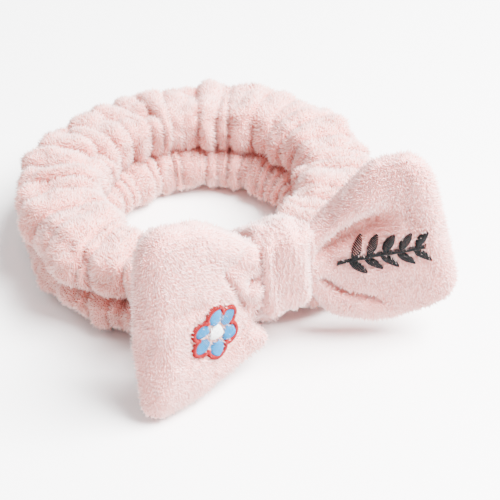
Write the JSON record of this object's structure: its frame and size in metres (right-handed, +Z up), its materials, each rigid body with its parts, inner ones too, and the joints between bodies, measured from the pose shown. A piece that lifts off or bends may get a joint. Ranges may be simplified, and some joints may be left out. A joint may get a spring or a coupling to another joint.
{
  "type": "spa headband",
  "caption": "Stretchy gathered fleece ring for holding hair back, with a large soft fleece bow held by a wrap at its front and embroidery on both loops.",
  "frame": {"origin": "under the middle of the whole headband, on the plane it rests on", "axes": "+Z up along the axis of the head opening, the bow faces -Y, +X towards the loop with the sprig"},
  "size_m": [0.18, 0.206, 0.1009],
  "materials": {
    "fleece": "long-pile coral fleece, matt",
    "bow_fleece": "short-pile fleece in fine rows, matt",
    "elastic": "woven elastic",
    "sewing_thread": "polyester thread",
    "white_thread": "satin embroidery thread",
    "blue_thread": "satin embroidery thread",
    "red_thread": "satin embroidery thread",
    "black_thread": "satin embroidery thread",
    "backing": "non-woven backing"
  },
  "bodies": {
    "band_front": {"cover_front": "fleece", "elastic_front": "elastic", "waist_thread_outer_front": "sewing_thread", "waist_thread_inner_front": "sewing_thread", "tube_seam_front": "sewing_thread", "wrap": "bow_fleece", "wrap_closing_stitches": "sewing_thread", "wrap_tack_stitches": "sewing_thread", "bow_core": "bow_fleece", "gather_thread": "sewing_thread"},
    "band_rear": {"cover_rear": "fleece", "elastic_rear": "elastic", "waist_thread_outer_rear": "sewing_thread", "waist_thread_inner_rear": "sewing_thread", "tube_seam_rear": "sewing_thread", "tube_end_seam": "sewing_thread", "elastic_join_stitches": "white_thread"},
    "bow_left": {"bow_left_loop": "bow_fleece", "left_loop_seam": "sewing_thread", "left_backing": "backing", "flower_petals": "blue_thread", "flower_outline": "red_thread", "flower_eye": "white_thread"},
    "bow_right": {"bow_right_loop": "bow_fleece", "right_loop_seam": "sewing_thread", "right_backing": "backing", "sprig_stem": "black_thread", "sprig_leaves": "black_thread"}
  },
  "joints": [
    {"name": "band_stretch", "type": "slide", "parent": "band_front", "child": "band_rear", "axis": [0, 1, 0], "range_m": [0, 0.08], "stiffness_N_per_m": 60},
    {"name": "bow_left_swing", "type": "hinge", "parent": "band_front", "child": "bow_left", "pos_m": [-0.0229, -0.0711, 0.0495], "axis": [0, 0, 1], "range_deg": [-12, 48], "stiffness_Nm_per_rad": 0.004},
    {"name": "bow_right_swing", "type": "hinge", "parent": "band_front", "child": "bow_right", "pos_m": [0.0229, -0.0711, 0.0495], "axis": [0, 0, -1], "range_deg": [-26, 38], "stiffness_Nm_per_rad": 0.004}
  ]
}
